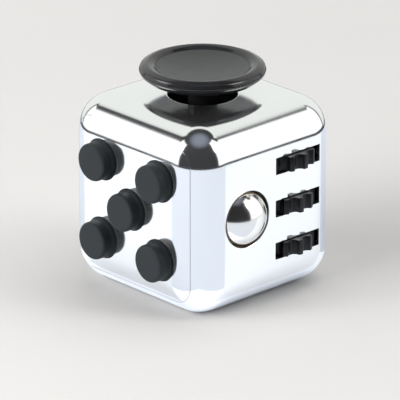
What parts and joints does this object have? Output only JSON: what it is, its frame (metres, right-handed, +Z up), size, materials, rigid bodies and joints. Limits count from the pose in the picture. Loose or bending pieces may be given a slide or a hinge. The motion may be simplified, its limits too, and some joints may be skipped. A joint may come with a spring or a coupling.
{
  "type": "fidget cube",
  "caption": "Palm-sized rounded cube with a fidget toy on each face: push buttons, a ball with toothed rollers, thumb stick, rocker, dial and thumb dish.",
  "frame": {"origin": "centre of the flat bottom face", "axes": "+Z up through the thumb stick, -Y the button face, +X the ball and roller face, +Y the rocker, -X the dial"},
  "size_m": [0.0376, 0.038, 0.0384],
  "materials": {
    "chromed_plastic": "bright chrome plating on moulded plastic",
    "black_gloss": "high gloss",
    "charcoal_matte": "fine matte, soft touch",
    "black_satin": "satin",
    "white_plastic": "as moulded",
    "bright_steel": "bright drawn",
    "polished_ball": "mirror polished",
    "black_rubber": "matte"
  },
  "bodies": {
    "housing": {"main_shell": "chromed_plastic", "button_cover": "chromed_plastic", "button_spring_1": "bright_steel", "button_spring_2": "bright_steel", "button_spring_3": "bright_steel", "button_spring_4": "bright_steel", "button_spring_5": "bright_steel", "button_carrier": "white_plastic", "button_carrier_screws": "bright_steel", "joystick_socket": "white_plastic", "socket_screws": "bright_steel", "centering_spring": "bright_steel", "gear_axle": "bright_steel", "gear_detent_spring": "bright_steel", "roll_carrier": "white_plastic", "roll_carrier_screws": "bright_steel", "ball_spring": "bright_steel", "dial_friction_ring": "black_rubber", "rocker_housing": "black_satin", "rocker_pin": "bright_steel", "rocker_leaf": "bright_steel"},
    "button_1": {"button_1": "charcoal_matte"},
    "button_2": {"button_2": "charcoal_matte"},
    "button_3": {"button_3": "charcoal_matte"},
    "button_4": {"button_4": "charcoal_matte"},
    "button_5": {"button_5": "charcoal_matte"},
    "gimbal": {"gimbal_ring": "white_plastic", "gimbal_pins_x": "bright_steel"},
    "stick": {"joystick_cap": "black_gloss", "joystick_pad": "charcoal_matte", "joystick_stem": "black_gloss", "joystick_screw": "bright_steel", "gimbal_pins_y": "bright_steel"},
    "roller_top": {"gear_top": "black_satin"},
    "roller_middle": {"gear_middle": "black_satin"},
    "roller_bottom": {"gear_bottom": "black_satin"},
    "ball_seat": {"ball_cup": "white_plastic"},
    "ball": {"steel_ball": "polished_ball"},
    "dial_wheel": {"dial": "charcoal_matte", "dial_hub": "white_plastic", "dial_washer": "bright_steel", "dial_screw": "bright_steel"},
    "rocker_flip": {"rocker": "charcoal_matte"}
  },
  "joints": [
    {"name": "button_1_press", "type": "slide", "parent": "housing", "child": "button_1", "axis": [0, 1, 0], "range_m": [0, 0.001], "stiffness_N_per_m": 300, "deforming": ["button_spring_1"]},
    {"name": "button_2_press", "type": "slide", "parent": "housing", "child": "button_2", "axis": [0, 1, 0], "range_m": [0, 0.001], "stiffness_N_per_m": 300, "deforming": ["button_spring_2"]},
    {"name": "button_3_press", "type": "slide", "parent": "housing", "child": "button_3", "axis": [0, 1, 0], "range_m": [0, 0.001], "stiffness_N_per_m": 300, "deforming": ["button_spring_3"]},
    {"name": "button_4_press", "type": "slide", "parent": "housing", "child": "button_4", "axis": [0, 1, 0], "range_m": [0, 0.001], "stiffness_N_per_m": 300, "deforming": ["button_spring_4"]},
    {"name": "button_5_press", "type": "slide", "parent": "housing", "child": "button_5", "axis": [0, 1, 0], "range_m": [0, 0.001], "stiffness_N_per_m": 300, "deforming": ["button_spring_5"]},
    {"name": "stick_tilt_x", "type": "hinge", "parent": "housing", "child": "gimbal", "pos_m": [0, 0, 0.028], "axis": [1, 0, 0], "range_deg": [-10, 10], "stiffness_Nm_per_rad": 0.02},
    {"name": "stick_tilt_y", "type": "hinge", "parent": "gimbal", "child": "stick", "pos_m": [0, 0, 0.028], "axis": [0, 1, 0], "range_deg": [-10, 10], "stiffness_Nm_per_rad": 0.02},
    {"name": "roller_top_spin", "type": "hinge", "parent": "housing", "child": "roller_top", "pos_m": [0.0127, 0.0063, 0.02405], "axis": [0, 0, 1], "continuous": true},
    {"name": "roller_middle_spin", "type": "hinge", "parent": "housing", "child": "roller_middle", "pos_m": [0.0127, 0.0063, 0.0165], "axis": [0, 0, 1], "continuous": true},
    {"name": "roller_bottom_spin", "type": "hinge", "parent": "housing", "child": "roller_bottom", "pos_m": [0.0127, 0.0063, 0.00895], "axis": [0, 0, 1], "continuous": true},
    {"name": "ball_press", "type": "slide", "parent": "housing", "child": "ball_seat", "axis": [-1, 0, 0], "range_m": [0, 0.0009], "stiffness_N_per_m": 400, "deforming": ["ball_spring"]},
    {"name": "ball_roll", "type": "hinge", "parent": "ball_seat", "child": "ball", "pos_m": [0.0135, -0.0053, 0.0165], "axis": [0, 0, 1], "continuous": true},
    {"name": "dial_spin", "type": "hinge", "parent": "housing", "child": "dial_wheel", "pos_m": [-0.0165, 0, 0.0165], "axis": [1, 0, 0], "continuous": true},
    {"name": "rocker_flip", "type": "hinge", "parent": "housing", "child": "rocker_flip", "pos_m": [0, 0.0125, 0.0165], "axis": [-1, 0, 0], "range_deg": [0, 20]}
  ]
}
